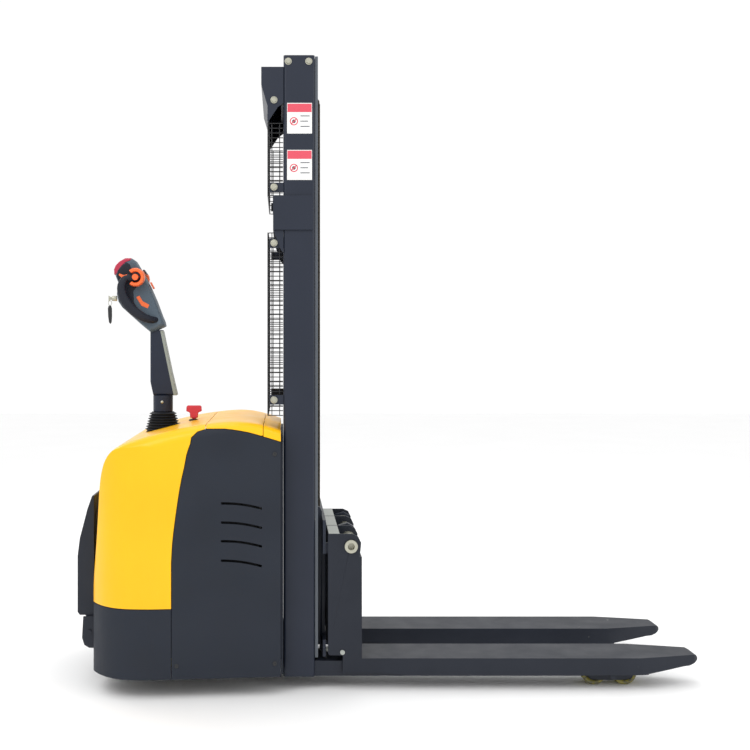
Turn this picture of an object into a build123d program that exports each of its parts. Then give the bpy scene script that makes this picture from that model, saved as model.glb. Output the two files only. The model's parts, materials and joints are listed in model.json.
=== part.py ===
from build123d import *
import math
import os

# Walkie / rider pallet stacker with a folding platform, straddle-free legs under the
# forks and a two-stage mast.  All sizes in millimetres.
# Drawing axes: +X points along the forks, X = 0 is the rear line of the mast, Z = 0 is
# the floor and Y = 0 the centre plane (the left side is -Y).  SHIFT_X moves everything
# at export so that the origin sits under the middle of the bounding box.

# ---------------------------------------------------------------- driving dimensions
FORK_LEN = 1150.0      # load face to tip
FORK_W = 180.0         # one fork
FORK_OUT = 560.0       # over both forks
FORK_TOP = 107.0
LOAD_FACE = 268.6
TIP_X = LOAD_FACE + FORK_LEN
MAST_H = 2135.0
MAST_OUT = 275.0       # outer face of the outer mast, half
OM_X0, OM_X1 = 5.0, 110.0
BODY_HW = 385.0        # body half width
BODY_REAR = -636.0
PLATFORM_X = -697.4    # outermost point of the folded platform
SKIRT_Z = 65.0
SHELL_T = 4.0
DRIVE_X = -430.0       # steering axis
DRIVE_R = 115.0
LOAD_R = 42.0
SHAFT_X, SHAFT_Z = 232.4, 483.5
SHIFT_X = -(TIP_X + PLATFORM_X) / 2.0

P = {}


# ---------------------------------------------------------------- helpers
def box(x0, x1, y0, y1, z0, z1):
    return Pos((x0 + x1) / 2, (y0 + y1) / 2, (z0 + z1) / 2) * Box(abs(x1 - x0), abs(y1 - y0), abs(z1 - z0))


def sbox(x0, x1, a0, a1, z0, z1, s):
    """Box between distances a0 and a1 from the centre plane, on side s."""
    return box(x0, x1, min(s * a0, s * a1), max(s * a0, s * a1), z0, z1)


def cy(x, z, r, y0, y1):
    y0, y1 = min(y0, y1), max(y0, y1)
    return Pos(x, (y0 + y1) / 2, z) * Rot(90, 0, 0) * Cylinder(r, y1 - y0)


def cx(y, z, r, x0, x1):
    return Pos((x0 + x1) / 2, y, z) * Rot(0, 90, 0) * Cylinder(r, x1 - x0)


def cz(x, y, r, z0, z1):
    return Pos(x, y, (z0 + z1) / 2) * Cylinder(r, z1 - z0)


def pz(pts, y0, y1):
    """Side outline (x, z) pulled across Y."""
    y0, y1 = min(y0, y1), max(y0, y1)
    w = Wire.make_polygon([(x, y0, z) for x, z in pts], close=True)
    return extrude(Face(w), amount=y1 - y0, dir=(0, 1, 0))


def px(pts, x0, x1):
    """Outline (y, z) pulled along X."""
    w = Wire.make_polygon([(x0, y, z) for y, z in pts], close=True)
    return extrude(Face(w), amount=x1 - x0, dir=(1, 0, 0))


def pp(pts, z0, z1):
    """Plan outline (x, y) pulled up Z."""
    w = Wire.make_polygon([(x, y, z0) for x, y in pts], close=True)
    return extrude(Face(w), amount=z1 - z0, dir=(0, 0, 1))


def group(*shapes):
    out = []
    for s in shapes:
        out.extend(s.solids())
    return Compound(out)


def side(s):
    return "left" if s < 0 else "right"


# ---------------------------------------------------------------- chassis
def chassis():
    # front wall and its backing plate, as strips around the window behind the lift cylinders
    c = [box(-3.4, 3.9, -200, 200, 72, 520), box(-3.4, 3.9, -200, 200, 760, 853),
         box(-12, -3.4, -200, 200, 100, 520), box(-12, -3.4, -200, 200, 760, 800),
         box(-568, -560, -326, 326, 152, 250),
         box(-560, -290, -318, 318, 332, 342) - cz(DRIVE_X, 0, 92, 300, 400),
         box(-298, -290, -300, 300, 150, 332) - box(-300, -280, -150, 150, 130, 300),
         box(-290, -22, -300, 300, 150, 158)]
    for s in (-1, 1):
        c.append(px([(s * 200, 72), (s * 336, 72), (s * 336, 800), (s * 322, 838), (s * 296, 853), (s * 200, 853)], -3.4, 3.9))
        c.append(sbox(-12, -3.4, 200, 268, 100, 800, s))
        c.append(sbox(-560, -22, 318, 326, 152, 250, s))
        c.append(sbox(-560, -22, 300, 318, 242, 250, s))
        c.append(sbox(-22, -3.4, 268, 320, 140, 300, s))
        c.append(sbox(-560, -290, 310, 318, 250, 332, s))
    return group(*c)


P["chassis_frame"] = chassis()

for s in (-1, 1):
    n = side(s)
    # leg: inverted channel, cut back beside the mast, sloped at its front end
    leg = sbox(112, 1205, 115, 265, 44, 95, s) - sbox(111, 1300, 121, 259, 30, 89, s)
    leg += sbox(3.9, 112, 115, 227, 44, 95, s) - sbox(9.9, 113, 121, 221, 30, 89, s)
    leg -= pz([(1207, 40), (1207, 90), (1186, 62), (1180, 40)], -300, 300)
    leg += sbox(110.2, 116, 221, 265, 44, 95, s)
    leg -= cy(1117.5, 43, 8.0, s * 110, s * 270)
    P["leg_" + n] = leg
    # bogie pin
    P["bogie_pin_" + n] = cy(1117.5, 43, 8.0, s * 113, s * 267) + cy(1117.5, 43, 11, s * 265, s * 269) + cy(1117.5, 43, 11, s * 111, s * 115)
    # rocker
    r = Solid()
    prof = [(1036, 43), (1046, 26), (1080, 20), (1155, 20), (1189, 26), (1199, 43), (1189, 58), (1150, 66), (1085, 66), (1046, 58)]
    bog = group(pz(prof, s * 146, s * 154), pz(prof, s * 226, s * 234))
    tie = cy(1117.5, 43, 10.2, s * 154, s * 226)
    bog = (pz(prof, s * 146, s * 154) + pz(prof, s * 226, s * 234) + tie) - cy(1117.5, 43, 8.05, s * 140, s * 240)
    for x in (1065, 1170):
        bog += cy(x, 43 - 1, 8.0, s * 146, s * 234)
    P["bogie_" + n] = bog
    for tag, x in (("rear", 1065), ("front", 1170)):
        w = cy(x, 42, LOAD_R, s * 158, s * 222) - cy(x, 42, 8.05, s * 150, s * 230)
        e = [q for q in w.edges() if q.geom_type == GeomType.CIRCLE and q.radius > 30]
        P["load_wheel_%s_%s" % (tag, n)] = fillet(e, 4)

# ---------------------------------------------------------------- outer mast
for s in (-1, 1):
    n = side(s)
    m = sbox(OM_X0, OM_X1, 265, MAST_OUT, 44, MAST_H, s)
    e = [q for q in m.edges().filter_by(Axis.Z) if abs(q.center().Y) > 270]
    m = fillet(e, 9)
    for x in (21, 90):
        m -= cy(x, 2114, 6, s * 260, s * 280)
    m = group(m, sbox(OM_X0, 17, 228, 265, 44, MAST_H, s), sbox(98, OM_X1, 228, 265, 44, MAST_H, s))
    P["outer_mast_" + n] = m

# wrap-round crossbeam half way up, welded to both channels
b = [box(-30, -22, -275, 275, 1547, 1662), box(-22, 5, -275, 275, 1547, 1555), box(-22, 5, -275, 275, 1654, 1662)]
for s in (-1, 1):
    b.append(sbox(-30, 104, 275, 283, 1547, 1662, s))
    b.append(pz([(-29, 1547), (5, 1547), (5, 1470), (-4, 1480)], s * 269, s * 275))
    b.append(sbox(-22, 66, 48, 78, 1590, 1600, s))             # chain anchor lugs
P["mast_crossbeam"] = group(*b)
P["chain_anchor_bolts"] = group(*[cz(56, s * 63, 7, 1600, 1622) + cz(56, s * 63, 11, 1600, 1610) for s in (-1, 1)])

# top crossbeam of the outer mast and the guard bracket in one folded part
g = [box(-70, 5, -268, 268, 2090, 2096), box(-70, -67, -268, 268, 2037, 2090),
     pz([(-70, 2037), (-67, 2037), (-46, 1966), (-49, 1965)], -268, 268), box(-49, -46, -268, 268, 1913, 1965),
     box(-3, 5, -268, 268, 2010, 2090)]
for s in (-1, 1):
    g.append(pz([(-70, 2096), (5, 2096), (5, 1975), (-15, 1960), (-46, 1913), (-49, 1913), (-49, 1965), (-70, 2036)], s * 268, s * 274))
P["guard_bracket"] = group(*g)

slides, bolts = [], []
for s in (-1, 1):
    slides.append(sbox(30.5, 97.6, 224.5, 265, 2040, 2130, s))
    for x in (21, 90):
        bolts.append(cy(x, 2114, 6, s * 265, s * 275) + cy(x, 2114, 12, s * 275, s * 282))
P["mast_slide_blocks"] = group(*slides)
P["mast_top_bolts"] = group(*bolts)

# lift cylinders: tubes with gland and foot
tubes, rods = [], []
CYL_X, CYL_Y = 62.0, 125.0
for s in (-1, 1):
    t = cz(CYL_X, s * CYL_Y, 28, 96, 1672) - cz(CYL_X, s * CYL_Y, 23, 112, 1800)
    t += cz(CYL_X, s * CYL_Y, 31, 1672, 1700) - cz(CYL_X, s * CYL_Y, 20.05, 1660, 1710)
    t += box(6, 88, s * CYL_Y - 32, s * CYL_Y + 32, 95, 101)
    t += box(4.3, 42, s * CYL_Y - 18, s * CYL_Y + 18, 101, 135) - cz(CYL_X, s * CYL_Y, 23, 100, 200)
    tubes.append(t)
    rods.append(cz(CYL_X, s * CYL_Y, 20, 124, 2062) + cz(CYL_X, s * CYL_Y, 22.6, 114, 130))
P["lift_cylinder_tubes"] = group(*tubes)
P["lift_rods"] = group(*rods)

# ---------------------------------------------------------------- inner mast
for s in (-1, 1):
    n = side(s)
    m = group(sbox(19, 111.5, 214, 222, 104, MAST_H, s), sbox(111.5, 121.5, 178, 258, 104, MAST_H, s),
              sbox(19, 29, 178, 214, 104, MAST_H, s), sbox(19, 29, 222, 257, 205, MAST_H, s),
              cy(57.5, 152, 12, s * 222, s * 262))
    P["inner_mast_" + n] = m
    P["mast_roller_" + n] = cy(57.5, 152, 40, s * 232, s * 262) - cy(57.5, 152, 12.05, s * 225, s * 265)
stubs = group(*[cy(57.5, 152, 12, s * 222, s * 262) for s in (-1, 1)])
P["mast_roller_pins"] = stubs
xb = box(31, 110, -214, 214, 2062, 2070) + box(31, 39, -214, 214, 2070, 2126)
xb += box(96, 111, -178, 178, 106, 150) + sbox(96, 111, 176, 214, 106, 150, 1) + sbox(96, 111, 176, 214, 106, 150, -1)
for s in (-1, 1):
    for y in (44, 80):
        xb += box(70, 110, s * y - 3, s * y + 3, 1990, 2066)
    xb += cy(90, 2012, 9, s * 41, s * 83)
P["inner_mast_crossbeams"] = xb
for s in (-1, 1):
    p = cy(90, 2012, 35, s * 50, s * 74) - cy(90, 2012, 30, s * 46, s * 50)
    p -= cy(90, 2012, 9.05, s * 40, s * 90)
    P["chain_pulley_" + side(s)] = p

# ---------------------------------------------------------------- carriage
car = [box(138, 148, -262, 262, 455, 568), box(138, 148, -262, 262, 108, 165)]
prof = [(44, 160), (130, 150), (138, 150), (138, 585), (130, 600), (110, 607), (60, 607), (44, 590)]
for s in (-1, 1):
    car.append(pz(prof, s * 164, s * 176))
    car.append(sbox(130, 138, 164, 176, 108, 150, s))
    car.append(sbox(138, 148, 150, 176, 165, 455, s))
    for z in (215, 545):
        car.append(cy(70.25, z, 12, s * 176, s * 211))
    car.append(sbox(118, 138, 48, 78, 520, 530, s))           # chain anchor shelf
lug = [(148, 490), (196, 490), (203, 508), (SHAFT_X + 4, 517), (SHAFT_X + 26, 505), (SHAFT_X + 33, SHAFT_Z), (SHAFT_X + 26, 460), (SHAFT_X, 450), (190, 456), (148, 456)]
for y0, y1 in ((-12, 12), (244, 258), (-258, -244)):
    car.append(pz(lug, y0, y1) - cy(SHAFT_X, SHAFT_Z, 22.05, -300, 300))
P["carriage_frame"] = group(*car)
for s in (-1, 1):
    for tag, z in (("lower", 215), ("upper", 545)):
        P["carriage_roller_%s_%s" % (tag, side(s))] = cy(70.25, z, 40.5, s * 181, s * 211) - cy(70.25, z, 12.05, s * 170, s * 220)
P["carriage_chain_bolts"] = group(*[cz(125, s * 63, 6, 530, 556) + cz(125, s * 63, 9, 530, 540) for s in (-1, 1)])

# ---------------------------------------------------------------- fork frame
P["fork_shaft"] = cy(SHAFT_X, SHAFT_Z, 22, -288, 288) - cy(SHAFT_X, SHAFT_Z, 11.8, -300, -262) - cy(SHAFT_X, SHAFT_Z, 11.8, 262, 300)
chk = [(154.5, 525), (236, 525), (256, 516), (266, 495), (264, 470), (261, 448), (248.5, 404), (215, 340), (208, 283), (210, 117), (160, 117), (154.5, 123)]
for s in (-1, 1):
    n = side(s)
    f = pz(chk, s * 272, s * 280) + pz(chk, s * 100, s * 108)
    f += box(260.6, LOAD_FACE, min(s * 100, s * 280), max(s * 100, s * 280), 95, 448)
    f += sbox(204, 265, 272, 280, 57, 448, s) + sbox(204, 265, 100, 108, 57, 448, s)
    f += sbox(236, LOAD_FACE, 100, 280, 440, 448, s)
    # plan outline of the blade, tapering to its tip
    plan = [(262, 100), (1206, 100), (1310, 122), (1400, 143), (1416, 155), (TIP_X, 170), (TIP_X, 210), (1416, 225), (1400, 237), (1310, 258), (1206, 280), (262, 280)]
    inn = [(262, 106), (1206, 106), (1310, 128), (1366, 142), (1366, 238), (1310, 252), (1206, 274), (262, 274)]
    blade = pp([(x, s * y) for x, y in plan], 50, FORK_TOP)
    blade -= pp([(x, s * y) for x, y in inn], 40, 101)
    blade -= pz([(1235, 40), (1235, 52), (1365, 70), (1385, 71), (1408, 80), (1425, 95), (1440, 95), (1440, 40)], -300, 300)
    blade -= pz([(1399, 108.5), (1411, 103), (1418.7, 92), (1430, 92), (1430, 110)], -300, 300)
    blade -= pz([(200, 40), (200, 57), (330, 57), (420, 52), (420, 40)], -300, 300)
    f += blade
    f -= cy(SHAFT_X, SHAFT_Z, 22, -290, 290)
    P["fork_" + n] = f
bar = group(box(157.5, 194, -100, 100, 506, 524.6), *[sbox(157.5, 194, 108, 272, 506, 524.6, s) for s in (-1, 1)], box(176, 200, -100, 100, 140, 200))
P["fork_crossbar"] = bar
P["fork_stop_bolts"] = group(*[cx(s * 236, 126, 9, 152, 160) + cx(s * 236, 126, 6, 148.2, 154) for s in (-1, 1)])
P["fork_cheek_bolts"] = group(*[cy(203, 128, 8, s * 280, s * 285) for s in (-1, 1)])

# ---------------------------------------------------------------- body covers
def envelope(o):
    """Solid inside the covers' outer skin moved in by o."""
    yy = -600
    k = o
    e1 = Edge.make_line((-636 + o, yy, SKIRT_Z), (-636 + o, yy, 290))
    e2 = Edge.make_spline([(-636 + o, yy, 290), (-622 + o, yy, 480), (-610 + o, yy, 640), (-598 + o * 0.9, yy, 740 - o * 0.4),
                           (-578 + o * 0.6, yy, 790 - o * 0.8), (-546 + o * 0.3, yy, 822 - o), (-500, yy, 842 - o), (-430, yy, 862 - o),
                           (-318, yy, 888 - o), (-230, yy, 901 - o), (-150, yy, 906 - o), (-80, yy, 897 - o), (-4, yy, 874 - o)],
                          tangents=[(0, 0, 1), (0.93, 0, -0.36)])
    e3 = Edge.make_line((-4, yy, 874 - o), (-4, yy, SKIRT_Z))
    e4 = Edge.make_line((-4, yy, SKIRT_Z), (-636 + o, yy, SKIRT_Z))
    s = extrude(Face(Wire([e1, e2, e3, e4])), amount=1200.3, dir=(0, 1, 0))
    w0, w1, x0 = BODY_HW - o, 345 - o, -637.5 + o

    def corner(sg):
        p = [(-426, sg * w0, 0), (-526 + 0.3 * k, sg * (w0 - 9), 0), (-588 + 0.7 * k, sg * (w0 - 46), 0),
             (x0 + 10, sg * (w0 - 98), 0), (x0, sg * 220, 0)]
        return p
    a = Edge.make_line((6, -w1, 0), (-426, -w0, 0))
    c = Edge.make_spline(corner(-1), tangents=[(-1, 0.03, 0), (0, 1, 0)])
    d = Edge.make_line((x0, -220, 0), (x0, 220, 0))
    c2 = Edge.make_spline(corner(1)[::-1], tangents=[(0, 1, 0), (1, 0.03, 0)])
    a2 = Edge.make_line((-426, w0, 0), (6, w1, 0))
    f = Edge.make_line((6, w1, 0), (6, -w1, 0))
    plan = extrude(Face(Wire([a, c, d, c2, a2, f])), amount=1100, dir=(0, 0, 1))
    s = s & plan
    es = [e for e in s.edges() if e.center().Z > 700 and abs(e.center().X + 4) > 1 and not (abs(e.center().X + 426) < 6 and e.length > 700)]
    try:
        return fillet([e for e in es if e.length < 700], 42 - o)
    except Exception:
        return s


outer_env = envelope(0.0)
inner_env = envelope(SHELL_T)
shell = outer_env - inner_env
shell -= box(-800, 100, -600, 600, 0, SKIRT_Z)

G = 0.8   # half gap between panels
CURVE = [(-362, 296), (-362, 446), (-359, 504), (-355, 544), (-349, 592), (-342, 641), (-336, 681), (-329, 720), (-320, 759),
         (-313, 798), (-307, 818), (-300, 837), (-297, 857), (-277, 876), (-251, 884)]
LID = [(-251, 884), (-189, 884), (-163, 881), (-137, 877), (-111, 872), (-85, 865), (-59, 857), (-33, 849), (-4, 840)]


def off(pts, dx, dz):
    return [(x + dx, z + dz) for x, z in pts]


LX0, LX1 = -251.0, -62.8
rear_reg = pz([(-720, 296 + G)] + off(CURVE, -G, 0)[1:] + [(LX0 - G, 884), (LX0 - G, 1000), (-720, 1000)], -500, 500)
rear_reg = pz([(-720, 296 + G), (-362 - G, 296 + G)] + off(CURVE, -G, 0)[1:-1] + [(LX0 - G, 884), (LX0 - G, 1000), (-720, 1000)], -500, 500)
P["drive_cover"] = shell & rear_reg
skirt = (shell & box(-720, -362 - G, -500, 500, SKIRT_Z, 296 - G))
P["rear_skirt"] = skirt
low = [(-362 + G, SKIRT_Z)] + off(CURVE, G, -G)[1:] + off(LID, 0, -G)[1:] + [(0, SKIRT_Z)]
VENTS = [(640, 621), (577, 557), (516, 496), (452, 431)]
for s in (-1, 1):
    y0, y1 = (s * 200, s * 500)
    sp = shell & pz(low, y0, y1)
    for a, b2 in VENTS:
        pts = []
        for i in range(9):
            t = i / 8.0
            x = -200 + 134 * t
            z = a + (b2 - a) * t + 5 * math.sin(math.pi * t)
            pts.append((x, z))
        sp -= pz([(x, z + 3.8) for x, z in pts] + [(x, z - 3.8) for x, z in pts[::-1]], s * 320, s * 400)
    P["side_panel_" + side(s)] = group(*[q for q in sp.solids() if q.volume > 2000])
top_reg = [(LX0 + G, 884 + G)] + off(LID, 0, G)[1:]


def clip_lid(x0, x1):
    pts = [p for p in off(LID, 0, G) if x0 < p[0] < x1]

    def zat(x):
        L = off(LID, 0, G)
        for (xa, za), (xb2, zb) in zip(L, L[1:]):
            if xa <= x <= xb2:
                return za + (zb - za) * (x - xa) / (xb2 - xa)
        return L[-1][1]
    return pz([(x0, zat(x0))] + pts + [(x1, zat(x1)), (x1, 1000), (x0, 1000)], -500, 500)


# the lower front corner is trimmed so that it clears the side panels as the lid swings up
P["battery_lid"] = (shell & clip_lid(LX0 + G, LX1)) - box(-80, -62, -500, 500, 840, 861.2)
P["mast_side_cover"] = shell & clip_lid(-61.2, -4.0)

# ---------------------------------------------------------------- wire guard
def grid(xs, zs, w):
    """Flat net of bars (as one face with square holes) in the drawing's XY plane."""
    f = Face(Wire.make_polygon([(xs[0] - w, zs[0] - w, 0), (xs[-1] + w, zs[0] - w, 0), (xs[-1] + w, zs[-1] + w, 0), (xs[0] - w, zs[-1] + w, 0)], close=True))
    holes = []
    for a, b2 in zip(xs, xs[1:]):
        for c, d in zip(zs, zs[1:]):
            holes.append(Wire.make_polygon([(a + w, c + w, 0), (a + w, d - w, 0), (b2 - w, d - w, 0), (b2 - w, c + w, 0)], close=True))
    return f.make_holes(holes)


parts_g = []
for z0, z1, nz in ((922, 1538, 38), (1664, 1908, 15)):
    zs = [z0 + (z1 - z0) * i / nz for i in range(nz + 1)]
    ys = [-262 + 524 * i / 21 for i in range(22)]
    fr = extrude(grid(ys, zs, 1.4), amount=2.8, dir=(0, 0, 1))
    parts_g.append(Location(Plane(origin=(-48.4, 0, 0), x_dir=(0, 1, 0), z_dir=(1, 0, 0))) * fr)
    xs = [-44.2, -20, 3]
    for s in (-1, 1):
        sd = extrude(grid(xs, zs, 1.4), amount=2.8, dir=(0, 0, 1))
        parts_g.append(Location(Plane(origin=(0, s * 261 + 1.4, 0), x_dir=(1, 0, 0), z_dir=(0, -1, 0))) * sd)
P["mesh_guard"] = group(*parts_g)
tabs = []
for s in (-1, 1):
    for z in (975, 1503, 1691, 1984):
        tabs.append(cy(-27, z, 12, s * 275, s * 281))
P["guard_bolts"] = group(*tabs)
tabs = []
for s in (-1, 1):
    for z in (975, 1503, 1691):
        tabs.append(sbox(-42, 5, 263, 268.9, z - 16, z + 16, s))
P["guard_tabs"] = group(*tabs)
P["mast_labels"] = group(*[box(17, 101, s * 275, s * 275.6, z0, z1) for s in (-1, 1) for z0, z1 in ((1871, 1974), (1715, 1816))])

# ---------------------------------------------------------------- inside the body
P["battery"] = box(-284, -78, -300, 300, 160, 800)
P["hydraulic_tank"] = box(-545, -330, 232, 300, 345, 560)
P["hydraulic_motor"] = cz(-480, 266, 32, 560, 690)
P["hydraulic_pump"] = box(-420, -350, 240, 292, 560.5, 620)
P["estop_switch"] = cz(-318, 0, 14, 800, 872) - cz(-318, 0, 5.4, 790, 880) + box(-345, -291, -40, 40, 794, 800) - cz(-318, 0, 5.4, 780, 900)
est = cz(-318, 0, 5, 802, 900) + box(-332, -304, -9, 9, 895, 920) + box(-346, -290, -9, 9, 918, 941)
P["estop_handle"] = fillet([e for e in est.edges() if e.center().Z > 940], 5)

# ---------------------------------------------------------------- drive unit (steers)
tt = cz(DRIVE_X, 0, 91, 322, 350)
P["steer_turntable"] = tt + cz(DRIVE_X, 0, 98, 342.6, 352)
fk_ = box(DRIVE_X - 40, DRIVE_X + 40, 44, 84, 60, 322) + box(DRIVE_X - 60, DRIVE_X + 60, -60, 84, 248, 322)
P["drive_gearbox"] = fk_ + cy(DRIVE_X, DRIVE_R, 34, 44, 92) - cy(DRIVE_X, DRIVE_R, 12.05, 30, 100)
P["drive_motor"] = cz(DRIVE_X, 0, 70, 352, 560)
hub = cy(DRIVE_X, DRIVE_R, 84, -38, 38) + cy(DRIVE_X, DRIVE_R, 12, 38, 90)
P["drive_wheel_hub"] = hub
ty = cy(DRIVE_X, DRIVE_R, DRIVE_R, -38, 38) - cy(DRIVE_X, DRIVE_R, 84, -40, 40)
P["drive_wheel_tyre"] = fillet([e for e in ty.edges() if e.geom_type == GeomType.CIRCLE and e.radius > 100], 5)
col = cz(DRIVE_X, 0, 30, 560, 872) + cz(DRIVE_X, 0, 48, 560, 570)
for s in (-1, 1):
    col += sbox(DRIVE_X - 14, DRIVE_X + 14, 24, 30, 860, 908, s) + cy(DRIVE_X, 908, 14, s * 24, s * 30)
col -= cy(DRIVE_X, 908, 7.05, -40, 40)
P["tiller_base"] = group(col, cy(DRIVE_X, 908, 7, -31, 31))
bp = [(37, 846), (60, 850), (63, 864), (63, 868), (54, 874), (58, 882), (50, 888), (54, 896), (47, 902), (51, 909), (45, 914), (47, 919), (37, 919)]
P["tiller_boot"] = Pos(DRIVE_X, 0, 0) * revolve(Face(Wire.make_polygon([(r, 0, z) for r, z in bp], close=True)), Axis.Z, 360)

# ---------------------------------------------------------------- tiller
nk = cz(DRIVE_X, 0, 29, 926, 940) + cz(DRIVE_X, 0, 35, 940, 978) + box(DRIVE_X - 14, DRIVE_X + 14, -22, 22, 908, 930) + cy(DRIVE_X, 908, 14, -22, 22)
nk -= cy(DRIVE_X, 908, 7.05, -40, 40)
arm = pz([(-462, 978), (-474, 1030), (-474, 1213), (-430, 1213), (-398, 1060), (-380, 978)], -26, 26)
arm = fillet([e for e in arm.edges() if abs(abs(e.center().Y) - 26) < 0.1 and e.length > 60], 9)
P["tiller_arm"] = nk + arm
hd = pz([(-495, 1213), (-530, 1246), (-545, 1290), (-545, 1330), (-540, 1390), (-530, 1440), (-521, 1452), (-506, 1430), (-492, 1409), (-481, 1387), (-459, 1344), (-441, 1300), (-427, 1257), (-423, 1213)], -45, 45)
hd = fillet([e for e in hd.edges() if abs(abs(e.center().Y) - 45) < 0.1], 8)
hd -= cy(-520, 1400, 10.02, -60, 60)
l1 = pz([(-541, 1254), (-586, 1300), (-570, 1308), (-538, 1276)], -92, 92) - hd
l2 = pz([(-586, 1300), (-597, 1344), (-580, 1346), (-570, 1308)], -92, 92)
l3 = pz([(-597, 1344), (-593, 1400), (-577, 1400), (-580, 1346)], -92, 92)
P["tiller_head"] = group(hd, l1, l2, l3, cx(-60, 1325, 9, -606, -588) - l2)
P["throttle_wings"] = cy(-520, 1400, 9.95, -90, 90) + sum([cy(-520, 1400, 34, s * 50, s * 88) - cy(-520, 1400, 22, s * 62, s * 100) for s in (-1, 1)], Part())
P["belly_button"] = pz([(-604, 1411), (-604, 1430), (-590, 1452), (-561, 1474), (-540, 1474), (-536, 1464), (-556, 1457), (-574, 1441), (-584, 1411)], -45, 45)


def on_edge(a, b, n0, n1, y0, y1):
    d = math.hypot(b[0] - a[0], b[1] - a[1])
    nx, nz = -(b[1] - a[1]) / d, (b[0] - a[0]) / d
    if nx < 0:
        nx, nz = -nx, -nz
    return pz([(a[0] + nx * n0, a[1] + nz * n0), (b[0] + nx * n0, b[1] + nz * n0), (b[0] + nx * n1, b[1] + nz * n1), (a[0] + nx * n1, a[1] + nz * n1)], y0, y1)


P["horn_button"] = on_edge((-479, 1383), (-467, 1360), 2.6, 8, -12, 12)
P["lift_rocker"] = on_edge((-504, 1427), (-493, 1411), 3.2, 8, -20, 20)
P["key"] = box(-618, -606.6, -61.5, -58.5, 1316, 1334) + box(-617, -608, -62, -58, 1232, 1317)

# ---------------------------------------------------------------- folding platform
PIV_X, PIV_Z = -655.0, 185.0
pl = pz([(-641, 239), (-641, 645), (-648, 645), (-664, 600), (-690, 500), (PLATFORM_X, 440), (PLATFORM_X, 250), (-690, 239)], -225, 225)
br = []
for s in (-1, 1):
    pl += sbox(-669, -641, 214, 225, 185, 240, s) + cy(PIV_X, PIV_Z, 14, s * 214, s * 225)
    b1 = pz([(-636, 239), (-676, 236), (-680, 165), (-672, 140), (-655, 130), (-636, 130)], s * 228, s * 236)
    br.append(b1 + cy(PIV_X, PIV_Z, 8, s * 210, s * 240))
pl -= pz([(-647, 246), (-647, 590), (-662, 588), (-686, 492), (-720, 470), (-720, 246)], -213, 213)
for s in (-1, 1):
    pl -= cy(PIV_X, PIV_Z, 8.05, s * 200, s * 240)
P["platform"] = pl
P["platform_brackets"] = group(*br)

# ---------------------------------------------------------------- openings in the covers
P["drive_cover"] = P["drive_cover"] - cz(DRIVE_X, 0, 64.5, 780, 1000) - cz(-318, 0, 13, 780, 1000)

# ---------------------------------------------------------------- pieces kept as one file each
for s in (-1, 1):
    n = side(s)
    P["leg_" + n] += P.pop("bogie_pin_" + n)
JOIN = {
    "mast_rollers": ["mast_roller_left", "mast_roller_right"],
    "chain_pulleys": ["chain_pulley_left", "chain_pulley_right"],
    "carriage_rollers_lower": ["carriage_roller_lower_left", "carriage_roller_lower_right"],
    "carriage_rollers_upper": ["carriage_roller_upper_left", "carriage_roller_upper_right"],
    "mast_bolts": ["guard_bolts", "mast_top_bolts", "chain_anchor_bolts"],
    "guard_bracket": ["guard_bracket", "guard_tabs"],
    "carriage_frame": ["carriage_frame", "carriage_chain_bolts"],
    "fork_crossbar": ["fork_crossbar", "fork_stop_bolts", "fork_cheek_bolts"],
    "hydraulic_unit": ["hydraulic_tank", "hydraulic_motor", "hydraulic_pump"],
    "drive_gearbox": ["drive_gearbox", "steer_turntable"],
}
P.pop("mast_roller_pins")
for new, olds in JOIN.items():
    P[new] = group(*[P.pop(o) for o in olds])

os.makedirs("parts", exist_ok=True)
for name, shape in P.items():
    export_step(Pos(SHIFT_X, 0, 0) * shape, "parts/%s.step" % name)
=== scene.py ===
import bpy, bmesh, math, json
from mathutils import Vector, Matrix


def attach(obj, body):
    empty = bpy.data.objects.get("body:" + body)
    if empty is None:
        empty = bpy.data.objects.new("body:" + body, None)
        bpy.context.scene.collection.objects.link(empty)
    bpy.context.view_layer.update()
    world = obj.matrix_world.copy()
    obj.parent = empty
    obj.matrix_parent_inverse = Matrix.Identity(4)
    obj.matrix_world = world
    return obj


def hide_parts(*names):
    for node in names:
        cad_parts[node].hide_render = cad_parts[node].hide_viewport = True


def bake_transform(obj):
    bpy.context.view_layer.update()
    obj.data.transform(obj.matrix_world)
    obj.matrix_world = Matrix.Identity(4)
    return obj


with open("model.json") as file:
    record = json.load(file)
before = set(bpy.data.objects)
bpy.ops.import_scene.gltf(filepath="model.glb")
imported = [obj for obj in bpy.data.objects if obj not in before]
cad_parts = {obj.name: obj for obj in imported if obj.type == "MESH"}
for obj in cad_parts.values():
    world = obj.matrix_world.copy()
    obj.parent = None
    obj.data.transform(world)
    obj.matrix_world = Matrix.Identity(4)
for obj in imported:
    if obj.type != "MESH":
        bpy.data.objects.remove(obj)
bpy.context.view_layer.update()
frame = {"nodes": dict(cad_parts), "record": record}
N = frame["nodes"]
OX = -360.6   # drawing X (mm, 0 = rear of the mast) to row X


def V(x, y, z):
    return Vector(((x + OX) / 1000.0, y / 1000.0, z / 1000.0))


# ------------------------------------------------------------------ materials
def srgb(r, g, b):
    def f(c):
        c = c / 255.0
        return c / 12.92 if c <= 0.04045 else ((c + 0.055) / 1.055) ** 2.4
    return (f(r), f(g), f(b), 1.0)


MATS = {}


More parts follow.
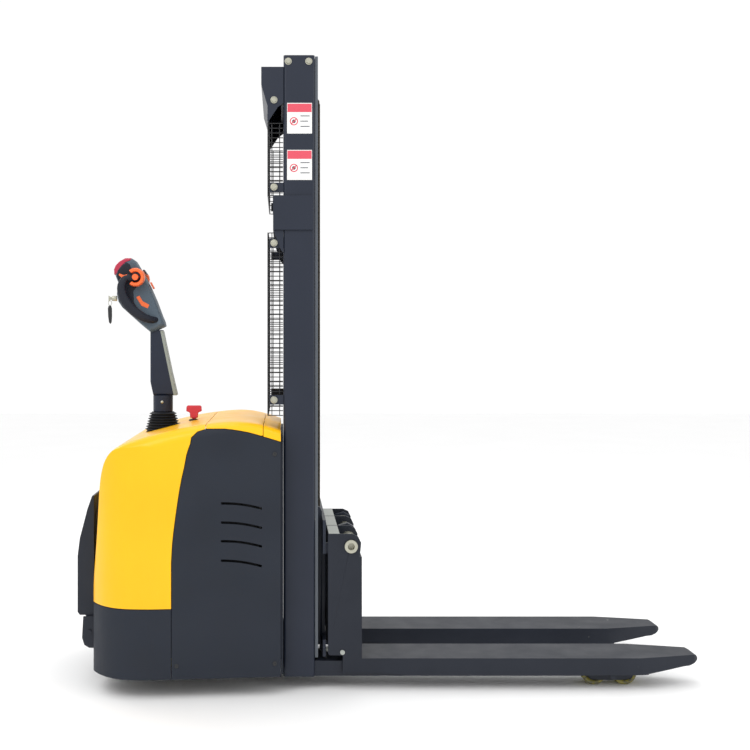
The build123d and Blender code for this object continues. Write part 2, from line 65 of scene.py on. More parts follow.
def material(name, col, rough=0.5, metal=0.0, vary=0.12, vary_scale=6.0, grain=0.15, grain_scale=260.0, rough_vary=0.12,
             wear=None, wear_amount=0.0, coat=0.0, stretch=(1, 1, 1), coarse=0.0, coarse_scale=9.0, spec=0.5):
    m = bpy.data.materials.new(name)
    m.use_nodes = True
    nt = m.node_tree
    nt.nodes.clear()
    out = nt.nodes.new("ShaderNodeOutputMaterial")
    b = nt.nodes.new("ShaderNodeBsdfPrincipled")
    nt.links.new(b.outputs[0], out.inputs[0])
    tc = nt.nodes.new("ShaderNodeTexCoord")
    mp = nt.nodes.new("ShaderNodeMapping")
    mp.inputs["Scale"].default_value = stretch
    nt.links.new(tc.outputs["Object"], mp.inputs[0])

    def noise(scale, detail=4.0):
        n = nt.nodes.new("ShaderNodeTexNoise")
        n.inputs["Scale"].default_value = scale
        n.inputs["Detail"].default_value = detail
        nt.links.new(mp.outputs[0], n.inputs["Vector"])
        return n
    n1 = noise(vary_scale, 5.0)
    ramp = nt.nodes.new("ShaderNodeValToRGB")
    ramp.color_ramp.elements[0].position = 0.3
    ramp.color_ramp.elements[1].position = 0.7
    d = tuple(c * (1 - vary) for c in col[:3]) + (1,)
    l = tuple(min(1.0, c * (1 + vary) + 0.002) for c in col[:3]) + (1,)
    ramp.color_ramp.elements[0].color = d
    ramp.color_ramp.elements[1].color = l
    nt.links.new(n1.outputs[0], ramp.inputs[0])
    base = ramp.outputs[0]
    if wear is not None:
        n3 = noise(38.0, 8.0)
        geo = nt.nodes.new("ShaderNodeNewGeometry")
        mx = nt.nodes.new("ShaderNodeMath")
        mx.operation = "MULTIPLY_ADD"
        mx.inputs[1].default_value = 2.4
        mx.inputs[2].default_value = -1.2
        nt.links.new(geo.outputs["Pointiness"], mx.inputs[0])
        ad = nt.nodes.new("ShaderNodeMath")
        ad.operation = "ADD"
        nt.links.new(mx.outputs[0], ad.inputs[0])
        nt.links.new(n3.outputs[0], ad.inputs[1])
        r2 = nt.nodes.new("ShaderNodeValToRGB")
        r2.color_ramp.elements[0].position = 0.66 - 0.1 * wear_amount
        r2.color_ramp.elements[1].position = 0.74 - 0.05 * wear_amount
        nt.links.new(ad.outputs[0], r2.inputs[0])
        mix = nt.nodes.new("ShaderNodeMix")
        mix.data_type = "RGBA"
        nt.links.new(r2.outputs[0], mix.inputs[0])
        nt.links.new(base, mix.inputs[6])
        mix.inputs[7].default_value = wear
        base = mix.outputs[2]
    nt.links.new(base, b.inputs["Base Color"])
    n2 = noise(grain_scale, 3.0)
    mr = nt.nodes.new("ShaderNodeMapRange")
    mr.inputs["To Min"].default_value = max(0.02, rough - rough_vary)
    mr.inputs["To Max"].default_value = min(1.0, rough + rough_vary)
    n4 = noise(14.0, 6.0)
    nt.links.new(n4.outputs[0], mr.inputs[0])
    nt.links.new(mr.outputs[0], b.inputs["Roughness"])
    bump = nt.nodes.new("ShaderNodeBump")
    bump.inputs["Strength"].default_value = grain
    bump.inputs["Distance"].default_value = 0.0006
    nt.links.new(n2.outputs[0], bump.inputs["Height"])
    last = bump
    if coarse > 0:
        n5 = noise(coarse_scale, 2.0)
        b2 = nt.nodes.new("ShaderNodeBump")
        b2.inputs["Strength"].default_value = coarse
        b2.inputs["Distance"].default_value = 0.004
        nt.links.new(n5.outputs[0], b2.inputs["Height"])
        nt.links.new(bump.outputs[0], b2.inputs["Normal"])
        last = b2
    nt.links.new(last.outputs[0], b.inputs["Normal"])
    b.inputs["Metallic"].default_value = metal
    b.inputs["Specular IOR Level"].default_value = spec
    if coat:
        b.inputs["Coat Weight"].default_value = coat
        b.inputs["Coat Roughness"].default_value = 0.12
    MATS[name] = m
    return m


steel_wear = srgb(120, 122, 120)
material("yellow_cover", srgb(252, 186, 0), 0.36, vary=0.04, vary_scale=3, grain=0.10, grain_scale=420, coat=0.1, coarse=0.02, spec=0.3)
material("dark_panel", srgb(22, 29, 41), 0.6, vary=0.10, vary_scale=7, grain=0.45, grain_scale=520, spec=0.35)
material("dark_paint", srgb(22, 28, 40), 0.46, vary=0.07, vary_scale=5, grain=0.22, grain_scale=380, coarse=0.02, spec=0.35)
material("mast_paint", srgb(26, 33, 48), 0.44, vary=0.06, vary_scale=4, grain=0.16, grain_scale=300, spec=0.35)
material("fork_paint", srgb(20, 26, 38), 0.5, vary=0.08, vary_scale=6, grain=0.22, grain_scale=320, wear=steel_wear, wear_amount=-1.6, spec=0.35)
material("inner_paint", srgb(84, 90, 98), 0.42, vary=0.07, vary_scale=5, grain=0.18, grain_scale=300, wear=steel_wear, wear_amount=-2.0)
material("black_wire", srgb(18, 20, 24), 0.45, vary=0.15, grain=0.2)
material("zinc", srgb(176, 175, 160), 0.36, metal=0.75, vary=0.10, vary_scale=20, grain=0.12, grain_scale=500)
material("bare_steel", srgb(160, 164, 158), 0.42, metal=0.65, vary=0.14, vary_scale=10, grain=0.2, grain_scale=240, stretch=(1, 0.08, 1))
material("chrome_rod", srgb(215, 215, 215), 0.12, metal=1.0, vary=0.03, grain=0.03, rough_vary=0.05)
material("cylinder_paint", srgb(30, 31, 34), 0.34, vary=0.12, grain=0.12, wear=steel_wear, wear_amount=-2.2)
material("roller_steel", srgb(120, 120, 122), 0.35, metal=0.9, vary=0.15, grain=0.2, grain_scale=300)
material("nylon", srgb(205, 202, 190), 0.5, vary=0.05, grain=0.1)
material("label_film", srgb(232, 232, 230), 0.45, vary=0.03, grain=0.05)
material("label_red", srgb(214, 74, 92), 0.45, vary=0.04, grain=0.05)
material("label_ink", srgb(70, 74, 84), 0.5, vary=0.05, grain=0.05)
material("battery_case", srgb(44, 44, 46), 0.6, vary=0.1, grain=0.3)
material("red_plastic", srgb(205, 42, 62), 0.36, vary=0.06, grain=0.12, grain_scale=400, coat=0.15)
material("crimson_plastic", srgb(176, 34, 66), 0.42, vary=0.06, grain=0.16, grain_scale=400)
material("polyurethane", srgb(134, 126, 58), 0.5, vary=0.14, vary_scale=14, grain=0.2, wear=srgb(92, 90, 70), wear_amount=0.2)
material("cast_hub", srgb(62, 63, 66), 0.55, metal=0.4, vary=0.15, grain=0.6, grain_scale=160)
material("boot_rubber", srgb(12, 16, 24), 0.62, vary=0.12, grain=0.3, grain_scale=300, spec=0.35)
material("tiller_paint", srgb(22, 31, 50), 0.5, vary=0.08, grain=0.35, grain_scale=360, spec=0.35)
material("trim_grey", srgb(142, 149, 142), 0.5, vary=0.06, grain=0.2)
material("head_shell", srgb(74, 88, 100), 0.55, vary=0.06, grain=0.35, grain_scale=480, spec=0.35)
material("head_dark", srgb(14, 20, 34), 0.55, vary=0.08, grain=0.35, grain_scale=480, spec=0.35)
material("orange_plastic", srgb(240, 104, 40), 0.38, vary=0.05, grain=0.12, coat=0.15)
material("black_plastic", srgb(24, 26, 30), 0.5, vary=0.1, grain=0.25)
material("oiled_chain", srgb(58, 52, 44), 0.34, metal=0.85, vary=0.25, vary_scale=60, grain=0.3)
material("hose_rubber", srgb(16, 17, 19), 0.5, vary=0.1, grain=0.3)
material("floor", srgb(250, 250, 250), 0.7, vary=0.008, vary_scale=1.5, grain=0.02)

NODE_MAT = {}
for s in frame["record"]["subparts"]:
    NODE_MAT[s["node"]] = s["material_slot"]
over = {"chassis_frame": "dark_panel", "outer_mast_left": "mast_paint", "outer_mast_right": "mast_paint", "inner_mast_left": "inner_paint", "inner_mast_right": "inner_paint",
        "inner_mast_crossbeams": "mast_paint", "mast_crossbeam": "mast_paint", "guard_bracket": "mast_paint", "fork_left": "fork_paint",
        "fork_right": "fork_paint", "carriage_frame": "mast_paint", "fork_crossbar": "bare_steel", "belly_button": "crimson_plastic",
        "tiller_arm": "tiller_paint"}
SHARP = {"drive_cover": 2.0, "battery_lid": 2.0, "mast_side_cover": 1.6, "tiller_head": 3.0, "belly_button": 6.0, "platform": 3.0,
         "tiller_arm": 1.5, "side_panel_left": 1.6, "side_panel_right": 1.6, "rear_skirt": 1.6}


def finish_mesh(o, bevel=1.0, angle=32.0, weld=True, seg=2):
    for p in o.data.polygons:
        p.use_smooth = True
    if weld:
        w = o.modifiers.new("weld", "WELD")
        w.merge_threshold = 0.00005
    if bevel > 0:
        m = o.modifiers.new("bevel", "BEVEL")
        m.width = bevel / 1000.0
        m.segments = seg
        m.limit_method = "ANGLE"
        m.angle_limit = math.radians(angle)
        m.use_clamp_overlap = True
    wn = o.modifiers.new("wn", "WEIGHTED_NORMAL")
    wn.keep_sharp = False
    wn.weight = 70


for name, o in N.items():
    mm = MATS[over.get(name, NODE_MAT[name] if NODE_MAT[name] in MATS else "dark_paint")]
    if not o.data.materials:
        o.data.materials.append(mm)
    for i in range(len(o.data.materials)):
        o.data.materials[i] = mm
    finish_mesh(o, SHARP.get(name, 1.0))


# ------------------------------------------------------------------ mesh helpers (drawing millimetres in, row metres out)
def obj_from(name, verts, faces, mat, body, bevel=0.0, smooth=True, replaces=(), sub=0, ride=True):
    me = bpy.data.meshes.new(name)
    me.from_pydata([tuple(V(*v)) for v in verts], [], faces)
    me.validate()
    o = bpy.data.objects.new(name, me)
    bpy.context.scene.collection.objects.link(o)
    bm = bmesh.new()
    bm.from_mesh(me)
    bmesh.ops.recalc_face_normals(bm, faces=bm.faces)
    bm.to_mesh(me)
    bm.free()
    me.materials.append(MATS[mat])
    for p in me.polygons:
        p.use_smooth = smooth
    if bevel > 0:
        m = o.modifiers.new("bevel", "BEVEL")
        m.width = bevel / 1000.0
        m.segments = 3
        m.limit_method = "ANGLE"
        m.angle_limit = math.radians(32)
    if sub:
        m = o.modifiers.new("sub", "SUBSURF")
        m.levels = sub
        m.render_levels = sub
    if smooth:
        wn = o.modifiers.new("wn", "WEIGHTED_NORMAL")
        wn.weight = 70
    if ride:
        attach(o, body)
    if replaces:
        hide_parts(*replaces)
    return o


def tube_verts(path, r, seg=8, closed=False):
    """Rings along a path (list of Vectors in drawing mm); returns verts, faces."""
    vs, fs = [], []
    n = len(path)
    up = None
    for i, p in enumerate(path):
        p = Vector(p)
        a = Vector(path[i - 1]) if (i > 0 or closed) else p
        b = Vector(path[(i + 1) % n]) if (i < n - 1 or closed) else p
        t = (b - a).normalized()
        if up is None:
            up = Vector((0, 0, 1)) if abs(t.z) < 0.9 else Vector((0, 1, 0))
        x = t.cross(up).normalized()
        y = x.cross(t).normalized()
        up = y
        for k in range(seg):
            ang = 2 * math.pi * k / seg
            vs.append(p + (x * math.cos(ang) + y * math.sin(ang)) * r)
    m = n if closed else n - 1
    for i in range(m):
        j = (i + 1) % n
        for k in range(seg):
            l = (k + 1) % seg
            fs.append((i * seg + k, i * seg + l, j * seg + l, j * seg + k))
    if not closed:
        fs.append(tuple(range(seg)))
        fs.append(tuple((n - 1) * seg + k for k in range(seg))[::-1])
    return vs, fs


def merge(parts):
    vs, fs = [], []
    for v, f in parts:
        o = len(vs)
        vs += [tuple(q) for q in v]
        fs += [tuple(i + o for i in q) for q in f]
    return vs, fs


def prism(pts, y0, y1):
    n = len(pts)
    vs = [(x, y0, z) for x, z in pts] + [(x, y1, z) for x, z in pts]
    fs = [tuple(range(n)), tuple(range(2 * n - 1, n - 1, -1))]
    for i in range(n):
        j = (i + 1) % n
        fs.append((i, i + n, j + n, j))
    return vs, fs


def lathe(profile, cx, cy_, axis="z", seg=48, close=True, z0=0.0):
    """profile: list of (r, h). axis z: around vertical through (cx, cy_); axis y: (r, y) around (cx, z=cy_)."""
    vs, fs = [], []
    n = len(profile)
    for i, (r, h) in enumerate(profile):
        for k in range(seg):
            a = 2 * math.pi * k / seg
            if axis == "z":
                vs.append((cx + r * math.cos(a), cy_ + r * math.sin(a), h))
            elif axis == "y":
                vs.append((cx + r * math.cos(a), h, cy_ + r * math.sin(a)))
            else:
                vs.append((h, cx + r * math.cos(a), cy_ + r * math.sin(a)))
    m = n if close else n - 1
    for i in range(m):
        j = (i + 1) % n
        for k in range(seg):
            l = (k + 1) % seg
            fs.append((i * seg + k, i * seg + l, j * seg + l, j * seg + k))
    return vs, fs


def hexhead(x, z, r, y0, y1, s, seg=6):
    """Hexagon bolt head with a chamfer, facing +-Y."""
    vs, fs = [], []
    rings = [(r, y0), (r, y0 + (y1 - y0) * 0.75), (r * 0.88, y1)]
    for rr, y in rings:
        for k in range(seg):
            a = 2 * math.pi * k / seg + 0.3
            vs.append((x + rr * math.cos(a), s * y, z + rr * math.sin(a)))
    for i in range(len(rings) - 1):
        for k in range(seg):
            l = (k + 1) % seg
            fs.append((i * seg + k, i * seg + l, (i + 1) * seg + l, (i + 1) * seg + k))
    fs.append(tuple(range(seg)))
    fs.append(tuple(range(2 * seg, 3 * seg)))
    return vs, fs


# ------------------------------------------------------------------ wire guard: round wires welded over each other
def wires():
    parts = []
    for z0, z1, nz in ((922, 1538, 38), (1664, 1908, 15)):
        zs = [z0 + (z1 - z0) * i / nz for i in range(nz + 1)]
        ys = [-262 + 524 * i / 21 for i in range(22)]
        for y in ys:
            parts.append(tube_verts([Vector((-48.2 + 0.9, y, z0 - 1)), Vector((-48.2 + 0.9, y, z1 + 1))], 2.0, 6))
        for z in zs:
            # one bent wire per row: side, corner, front, corner, side
            path = [Vector((3.5, -262, z)), Vector((-40, -262, z))]
            for k in range(1, 5):
                a = math.pi / 2 * k / 5
                path.append(Vector((-40 - 6.5 * math.sin(a), -262 + 6.5 * (1 - math.cos(a)), z)))
            path += [Vector((-46.5, -255, z)), Vector((-46.5, 255, z))]
            for k in range(4, 0, -1):
                a = math.pi / 2 * k / 5
                path.append(Vector((-40 - 6.5 * math.sin(a), 262 - 6.5 * (1 - math.cos(a)), z)))
            path += [Vector((-40, 262, z)), Vector((3.5, 262, z))]
            parts.append(tube_verts(path, 1.7, 6))
        for s in (-1, 1):
            for x in (-34, -8):
                parts.append(tube_verts([Vector((x, s * 261.0, z0 - 1)), Vector((x, s * 261.0, z1 + 1))], 1.4, 6))
    return merge(parts)


vs, fs = wires()
obj_from("guard_wires", vs, fs, "black_wire", "chassis", replaces=("mesh_guard",))

# ------------------------------------------------------------------ tiller boot: moulded bellows
prof = [(61, 848)]
for i in range(7):
    zz = 853.0 + i * 9.3
    ro = 64.0 - i * 2.55
    prof += [(ro - 7.5, zz), (ro - 1.2, zz + 2.2), (ro, zz + 3.6), (ro - 1.0, zz + 5.0), (ro - 7.5, zz + 7.2)]
prof += [(40, 918.6), (37, 918.6), (37, 848)]
vs, fs = lathe(prof, -430, 0, "z", 64)
boot = obj_from("boot_bellows", vs, fs, "boot_rubber", "drive_unit", ride=False, replaces=("tiller_boot",))
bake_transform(boot)

# ------------------------------------------------------------------ lift chains: leaf chains between crossbeam, pulley and carriage
def chain_strand(x, y, z0, z1):
    parts = []
    n = max(2, int(abs(z1 - z0) / 19.05))
    for i in range(n):
        za = z0 + (z1 - z0) * i / n
        zb = z0 + (z1 - z0) * (i + 1) / n
        offs = (-7.2, -2.4, 2.4, 7.2) if i % 2 == 0 else (-4.8, 0.0, 4.8)
        for q in offs:
            hw = 5.0
            pts = []
            for k in range(7):
                a = math.pi * k / 6
                pts.append((x - hw * math.cos(a), zb + 3 + 4 * math.sin(a) - 1))
            for k in range(7):
                a = math.pi * k / 6
                pts.append((x + hw * math.cos(a), za - 3 - 4 * math.sin(a) + 1))
            parts.append(prism(pts, y + q - 1.0, y + q + 1.0))
        parts.append(lathe([(0.1, y - 9.5), (3.0, y - 9.5), (3.0, y + 9.5), (0.1, y + 9.5)], x, za, "y", 10, close=False))
    return merge(parts)


for s in (-1, 1):
    n = "left" if s < 0 else "right"
    y = s * 62
    vs, fs = chain_strand(49.8, y, 1624, 2012)
    o = obj_from("chain_rear_" + n, vs, fs, "oiled_chain", "inner_mast", ride=False)
    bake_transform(o)
    vs, fs = chain_strand(130.2, y, 562, 2012)
    o = obj_from("chain_front_" + n, vs, fs, "oiled_chain", "inner_mast", ride=False)
    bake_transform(o)
    parts = []
    R = 40.2
    for i in range(9):
        a0 = math.pi * i / 9
        a1 = math.pi * (i + 1) / 9
        offs = (-7.2, -2.4, 2.4, 7.2) if i % 2 == 0 else (-4.8, 0.0, 4.8)
        for q in offs:
            vs2, fs2 = [], []
            pts = []
            for rr2, aa in ((R - 5, a0 - 0.07), (R - 5, a1 + 0.07), (R + 5, a1 + 0.07), (R + 5, a0 - 0.07)):
                pts.append((90 + rr2 * math.cos(aa), 2012 + rr2 * math.sin(aa)))
            parts.append(prism(pts, y + q - 1.0, y + q + 1.0))
    vs, fs = merge(parts)
    obj_from("chain_wrap_" + n, vs, fs, "oiled_chain", "inner_mast", bevel=0.0)

# ------------------------------------------------------------------ labels: plain film with a generic coloured header and ring
def label(name, s, z0, z1, ring):
    y = s * 275.62
    e = s * 0.16
    h = z1 - z0
    vs, fs = prism([(18.5, z1 - h * 0.30), (99.5, z1 - h * 0.30), (99.5, z1 - 2.5), (18.5, z1 - 2.5)], y, y + e)
    obj_from(name + "_header", vs, fs, "label_red", "chassis", smooth=False)
    cxx, czz, r1, r2 = 40.0, z0 + h * 0.40, 14.0, 10.6
    vs, fs = lathe([(r2, y), (r1, y), (r1, y + e), (r2, y + e)], cxx, czz, "y", 40)
    obj_from(name + "_ring", vs, fs, "label_red", "chassis", smooth=False)
    vs, fs = prism([(cxx - 9.5, czz - 7), (cxx - 7, czz - 9.5), (cxx + 9.5, czz + 7), (cxx + 7, czz + 9.5)], y, y + e)
    obj_from(name + "_bar", vs, fs, "label_red", "chassis", smooth=False)
    vs, fs = lathe([(0.1, y), (6.2, y), (6.2, y + e * 0.6), (0.1, y + e * 0.6)], cxx, czz, "y", 24, close=False)
    obj_from(name + "_blob", vs, fs, "label_ink", "chassis", smooth=False)
    rows = []
    for i in range(3):
        zc = z0 + h * (0.56 - 0.17 * i)
        rows.append(prism([(62, zc), (93 - 5 * (i % 2), zc), (93 - 5 * (i % 2), zc + 3.0), (62, zc + 3.0)], y, y + e))
    vs, fs = merge(rows)
    obj_from(name + "_rows", vs, fs, "label_ink", "chassis", smooth=False)


for s in (-1, 1):
    n = "left" if s < 0 else "right"
    label("label_upper_" + n, s, 1871, 1974, True)
    label("label_lower_" + n, s, 1715, 1816, True)

# ------------------------------------------------------------------ bolt heads with washers over the plain ones
parts = []
for s in (-1, 1):
    for x, z in [(-27, q) for q in (975, 1503, 1691, 1984)] + [(21, 2114), (90, 2114)]:
        y0 = 275.0
        parts.append(hexhead(x, z, 9.2, y0 + 2.0, y0 + 6.6, s))
        v, f = lathe([(0.1, s * (y0 + 0.1)), (12, s * (y0 + 0.1)), (12, s * (y0 + 1.6)), (11.4, s * (y0 + 2.1)), (0.1, s * (y0 + 2.1))], x, z, "y", 28, close=False)
        parts.append((v, f))
for s in (-1, 1):
    parts.append(lathe([(0.1, 1600.2), (10.5, 1600.2), (10.5, 1609), (7, 1609.5), (6.6, 1621.5), (0.1, 1622)], 56, s * 63, "z", 6, close=False))
vs, fs = merge(parts)
obj_from("mast_bolt_heads", vs, fs, "zinc", "chassis", bevel=0.4, replaces=("mast_bolts",))

# ------------------------------------------------------------------ screws on the covers
parts = []
for s in (-1, 1):
    for x, z, yy in ((-345, 110, 379.5), (-24, 110, 0), (-24, 800, 0)):
        t = (x + 426) / (426 + 6.0)
        y = 385 - (385 - 345) * t
        v, f = lathe([(0.1, s * (y - 1)), (7.5, s * (y - 1)), (7.5, s * (y + 1.2)), (6.2, s * (y + 2.2)), (3.0, s * (y + 2.2)), (2.8, s * (y + 0.8)), (0.1, s * (y + 0.8))], x, z, "y", 20, close=False)
        parts.append((v, f))
vs, fs = merge(parts)
obj_from("panel_screws", vs, fs, "black_plastic", "chassis")

# ------------------------------------------------------------------ load wheels and drive wheel detail
def wheel(name, body, x, y, z, R, w, bore, node, hub=0.62, mat="polyurethane"):
    h = w / 2
    rh = R * hub
    prof = [(rh, -h + 1.5), (R - 5, -h), (R - 1.6, -h + 1.4), (R - 0.05, -h + 5), (R - 0.02, 0), (R - 0.05, h - 5), (R - 1.6, h - 1.4), (R - 5, h), (rh, h - 1.5), (rh, 0)]
    vs, fs = lathe([(r, y + q) for r, q in prof], x, z, "y", 56)
    obj_from(name + "_tread", vs, fs, mat, body, replaces=(node,) if node else ())
    prof = [(bore + 0.3, -h + 3), (rh - 6, -h + 5), (rh - 2.5, -h + 2.0), (rh - 0.1, -h + 2.0), (rh - 0.1, h - 2.0), (rh - 2.5, h - 2.0), (rh - 6, h - 5), (bore + 0.3, h - 3)]
    vs, fs = lathe([(r, y + q) for r, q in prof], x, z, "y", 40)
    obj_from(name + "_hub", vs, fs, "cast_hub", body)


for s in (-1, 1):
    n = "left" if s < 0 else "right"
    for tag, x in (("rear", 1065), ("front", 1170)):
        b = "load_wheel_%s_%s" % (tag, n)
        wheel("lw_%s_%s" % (tag, n), b, x, s * 190, 42, 42, 64, 8.0, b)
wheel("drive_tyre", "drive_wheel", -430, 0, 115, 115, 76, 84, "drive_wheel_tyre", hub=84.2 / 115)

# ------------------------------------------------------------------ emergency pull: T handle with its collar
vs, fs = lathe([(5.6, 870), (12.2, 870), (12.2, 883), (19, 885), (19, 888), (16, 891), (11, 892.5), (5.6, 892.5)], -318, 0, "z", 32)
obj_from("estop_collar", vs, fs, "black_plastic", "chassis")
outline = [(-346, 920), (-345, 937), (-341, 941), (-295, 941), (-291, 937), (-290, 920), (-296, 918), (-303, 915), (-304.5, 896), (-331.5, 896), (-333, 915), (-340, 918)]
vs1 = prism(outline, -9, 9)
vs2 = lathe([(0.1, 803), (4.9, 803), (4.9, 893), (7.5, 894), (8.5, 897), (0.1, 898)], -318, 0, "z", 24, close=False)
vs, fs = merge([vs1])
obj_from("estop_t_handle", vs, fs, "red_plastic", "estop_handle", bevel=3.0, replaces=("estop_handle",))
vs, fs = vs2
obj_from("estop_stem", vs, fs, "red_plastic", "estop_handle")

# ------------------------------------------------------------------ tiller arm trim, head, grips, lock and key
vs, fs = prism([(-377.5, 979), (-396.5, 1060), (-428.5, 1211), (-438, 1210), (-407, 1060), (-390, 979)], -26.7, 26.7)
obj_from("arm_trim", vs, fs, "trim_grey", "tiller", bevel=2.0)
vs, fs = lathe([(30.5, 919.5), (33.5, 919.5), (35.2, 922), (35.4, 976), (33, 978.5), (30.5, 978.5)], -430, 0, "z", 48)
obj_from("neck_sleeve", vs, fs, "tiller_paint", "tiller")
vs, fs = merge([lathe([(0.1, s * 34.5), (5.5, s * 34.5), (5.0, s * 36.8), (0.1, s * 36.8)], -430, 955, "y", 18, close=False) for s in (-1, 1)])
obj_from("neck_screws", vs, fs, "zinc", "tiller")

shell_pts = [(-470, 1203), (-505, 1232), (-545, 1268), (-574, 1294), (-588, 1315), (-594, 1343), (-588, 1382), (-598, 1408), (-594, 1430), (-582, 1447), (-560, 1464), (-540, 1471), (-526, 1461), (-510, 1434), (-492, 1404), (-474, 1368), (-452, 1318), (-432, 1264), (-422, 1240), (-419, 1226), (-440, 1216)]


def crowned(pts, hw, crown, seg=10):
    """Side outline pulled across Y with rounded-off flanks: each station is drawn in towards the outline's centre."""
    cxm = sum(p[0] for p in pts) / len(pts)
    czm = sum(p[1] for p in pts) / len(pts)
    vs, fs = [], []
    n = len(pts)
    st = []
    for i in range(seg + 1):
        t = -1 + 2 * i / seg
        st.append((hw * math.sin(t * math.pi / 2), 1 - crown * (1 - math.sqrt(max(0.0, 1 - abs(math.sin(t * math.pi / 2)) ** 4)))))
    for y, k in st:
        for x, z in pts:
            vs.append((cxm + (x - cxm) * k, y, czm + (z - czm) * k))
    for i in range(seg):
        for j in range(n):
            l = (j + 1) % n
            fs.append((i * n + j, i * n + l, (i + 1) * n + l, (i + 1) * n + j))
    fs.append(tuple(range(n)))
    fs.append(tuple(seg * n + j for j in range(n))[::-1])
    return vs, fs


vs, fs = crowned(shell_pts, 47, 0.13)
obj_from("head_shell_body", vs, fs, "head_shell", "tiller", bevel=5.0, replaces=("tiller_head",))
vs, fs = crowned([(-535, 1262), (-566, 1290), (-583, 1316), (-588, 1343), (-583, 1380), (-592, 1408), (-588, 1428), (-574, 1445), (-556, 1458), (-544, 1452), (-532, 1420), (-502, 1395), (-512, 1372), (-530, 1352), (-528, 1310), (-512, 1280)], 48.6, 0.06)
obj_from("head_inner_shell", vs, fs, "head_dark", "tiller", bevel=3.0)


def smooth_path(ctrl, n=10):
    pts = [Vector(c) for c in ctrl]
    out = []
    for i in range(len(pts) - 1):
        p0 = pts[max(0, i - 1)]; p1 = pts[i]; p2 = pts[i + 1]; p3 = pts[min(len(pts) - 1, i + 2)]
        for k in range(n):
            t = k / n
            out.append(0.5 * ((2 * p1) + (-p0 + p2) * t + (2 * p0 - 5 * p1 + 4 * p2 - p3) * t * t + (-p0 + 3 * p1 - 3 * p2 + p3) * t ** 3))
    out.append(pts[-1])
    return out


grips = []
for s in (-1, 1):
    ctrl = [(-448, s * 40, 1250), (-470, s * 60, 1250), (-500, s * 74, 1262), (-533, s * 80, 1288), (-560, s * 82, 1326), (-569, s * 82, 1366), (-556, s * 80, 1394), (-530, s * 76, 1398), (-512, s * 66, 1390)]
    path = smooth_path(ctrl, 10)
    vs, fs = tube_verts(path, 1.0, 22)
    nr = len(path)
    for i in range(nr):
        t = i / (nr - 1)
        rad = 9.0 + 8.5 * math.sin(math.pi * min(1.0, t * 1.25)) ** 0.8 if t < 0.8 else 9.0 + 3.5 * (1 - t) / 0.2
        if t < 0.8:
            rad = max(rad, 9.0)
        c = path[i]
        for k in range(22):
            v = Vector(vs[i * 22 + k])
            d = (v - c) * rad
            vs[i * 22 + k] = c + Vector((d.x, d.y * 0.82, d.z))
    grips.append((vs, fs))
vs, fs = merge(grips)
obj_from("grip_handles", vs, fs, "head_dark", "tiller")
parts = [lathe([(0.1, s * 86), (13, s * 86), (13, s * 90.5), (10, s * 93), (0.1, s * 93)], -520, 1400, "y", 28, close=False) for s in (-1, 1)]
wings = []
for s in (-1, 1):
    prof = []
    n = 40
    R0, R1 = 19.0, 33.0
    ring = []
    for k in range(n + 1):
        a = math.radians(-158) + math.radians(262) * k / n
        ring.append(a)
    vsw, fsw = [], []
    for a in ring:
        for r, y in ((R0, 60), (R0 + 2, 56), (R1 - 3, 56), (R1, 60), (R1, 80), (R1 - 3, 86), (R0 + 2, 86), (R0, 80)):
            vsw.append((-520 + r * math.cos(a + 0.5), s * y, 1400 + r * math.sin(a + 0.5)))
    for i in range(n):
        for j in range(8):
            l = (j + 1) % 8
            fsw.append((i * 8 + j, i * 8 + l, (i + 1) * 8 + l, (i + 1) * 8 + j))
    fsw.append(tuple(range(8)))
    fsw.append(tuple(n * 8 + j for j in range(8))[::-1])
    wings.append((vsw, fsw))
    wings.append(lathe([(0.1, s * 46), (11, s * 46), (11, s * 88), (0.1, s * 88)], -520, 1400, "y", 24, close=False))
    wings.append(prism([(-548, 1411), (-561, 1407), (-577, 1413), (-579, 1407), (-566, 1396), (-548, 1397)], s * 60, s * 78))
vs, fs = merge(wings)
obj_from("throttle_butterfly", vs, fs, "orange_plastic", "throttle", bevel=1.2, replaces=("throttle_wings",))
vs, fs = lathe([(4, -606), (8.6, -605.5), (9.4, -603), (9.4, -588), (4, -588)], -60, 1325, "x", 28)
obj_from("lock_barrel", vs, fs, "zinc", "tiller")
vs, fs = merge([prism([(-606.8, 1329), (-606.8, 1321), (-611, 1320), (-618, 1314), (-618, 1336), (-611, 1331)], -61.2, -58.8)])
obj_from("key_blade", vs, fs, "zinc", "key", bevel=0.5, replaces=("key",))
vs, fs = tube_verts([Vector((-612.5 + 6 * math.cos(2 * math.pi * k / 20), -60, 1309 + 8 * math.sin(2 * math.pi * k / 20))) for k in range(20)], 0.9, 8, closed=True)
obj_from("key_ring", vs, fs, "zinc", "key")
vs, fs = crowned([(-617, 1300), (-620, 1290), (-619, 1262), (-616, 1240), (-611, 1234), (-607, 1240), (-605.5, 1262), (-606, 1290), (-609, 1300)], 5.0, 0.25)
vs = [(x, y - 60, z) for x, y, z in vs]
obj_from("key_fob", vs, fs, "black_plastic", "key", bevel=1.0)
vs, fs = merge([prism([(-503, 1300), (-480, 1290), (-474, 1303), (-498, 1316), (-510, 1336), (-521, 1330)], s * 44.5, s * 48.2) for s in (-1, 1)])
obj_from("head_side_pad", vs, fs, "orange_plastic", "tiller", bevel=1.0)
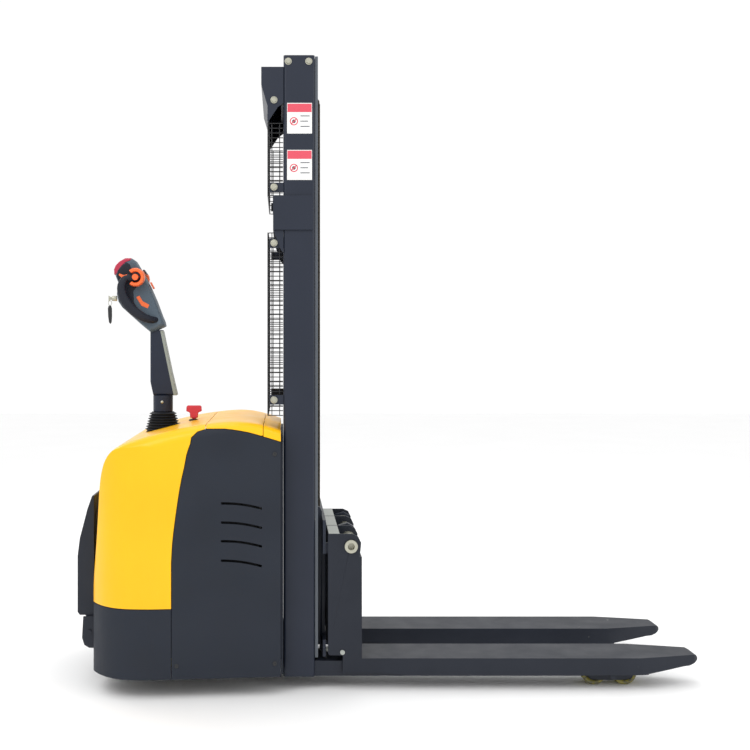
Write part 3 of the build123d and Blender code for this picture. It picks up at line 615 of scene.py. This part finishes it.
vs, fs = crowned([(-603, 1411), (-604, 1430), (-598, 1444), (-584, 1459), (-561, 1472), (-541, 1472), (-537, 1465), (-556, 1459), (-574, 1442), (-583, 1411)], 44, 0.22)
obj_from("belly_cap", vs, fs, "crimson_plastic", "belly_button", bevel=2.5, replaces=("belly_button",))

# ------------------------------------------------------------------ studio
def plane(name, pts, mat):
    me = bpy.data.meshes.new(name)
    me.from_pydata(pts, [], [tuple(range(len(pts)))])
    o = bpy.data.objects.new(name, me)
    bpy.context.scene.collection.objects.link(o)
    me.materials.append(MATS[mat])
    return o


plane("studio_floor", [(-14, -10, 0), (14, -10, 0), (14, 14, 0), (-14, 14, 0)], "floor")
w = bpy.data.worlds.new("studio")
bpy.context.scene.world = w
w.use_nodes = True
w.node_tree.nodes["Background"].inputs[0].default_value = (1.0, 1.0, 1.0, 1)
w.node_tree.nodes["Background"].inputs[1].default_value = 1.02


def area(name, loc, target, size, power, col=(1, 1, 1)):
    l = bpy.data.lights.new(name, "AREA")
    l.shape = "RECTANGLE"
    l.size, l.size_y = size
    l.energy = power
    l.color = col
    o = bpy.data.objects.new(name, l)
    o.location = loc
    o.rotation_euler = (Vector(target) - Vector(loc)).to_track_quat("-Z", "Y").to_euler()
    bpy.context.scene.collection.objects.link(o)
    return o


area("key", (-2.2, -3.4, 4.2), (0, 0, 0.8), (2.6, 2.6), 62)
area("fill", (3.6, -2.8, 2.4), (0.2, 0, 0.8), (2.4, 2.4), 28)
area("top", (0.0, 0.6, 4.6), (0, 0, 0.5), (3.0, 3.0), 36)
area("rim", (-3.4, 2.6, 3.0), (-0.4, 0, 1.0), (1.8, 2.4), 30)

cam = bpy.data.cameras.new("camera")
co = bpy.data.objects.new("camera", cam)
bpy.context.scene.collection.objects.link(co)
co.location = V(0, -3919, 1166.6)
co.rotation_euler = (math.radians(90), 0, 0)
cam.lens = 52.0
cam.sensor_width = 36.0
cam.shift_x = 0.124
cam.shift_y = -0.0427
cam.clip_start = 0.05
cam.clip_end = 60
bpy.context.scene.camera = co
bpy.context.scene.view_settings.view_transform = "Standard"
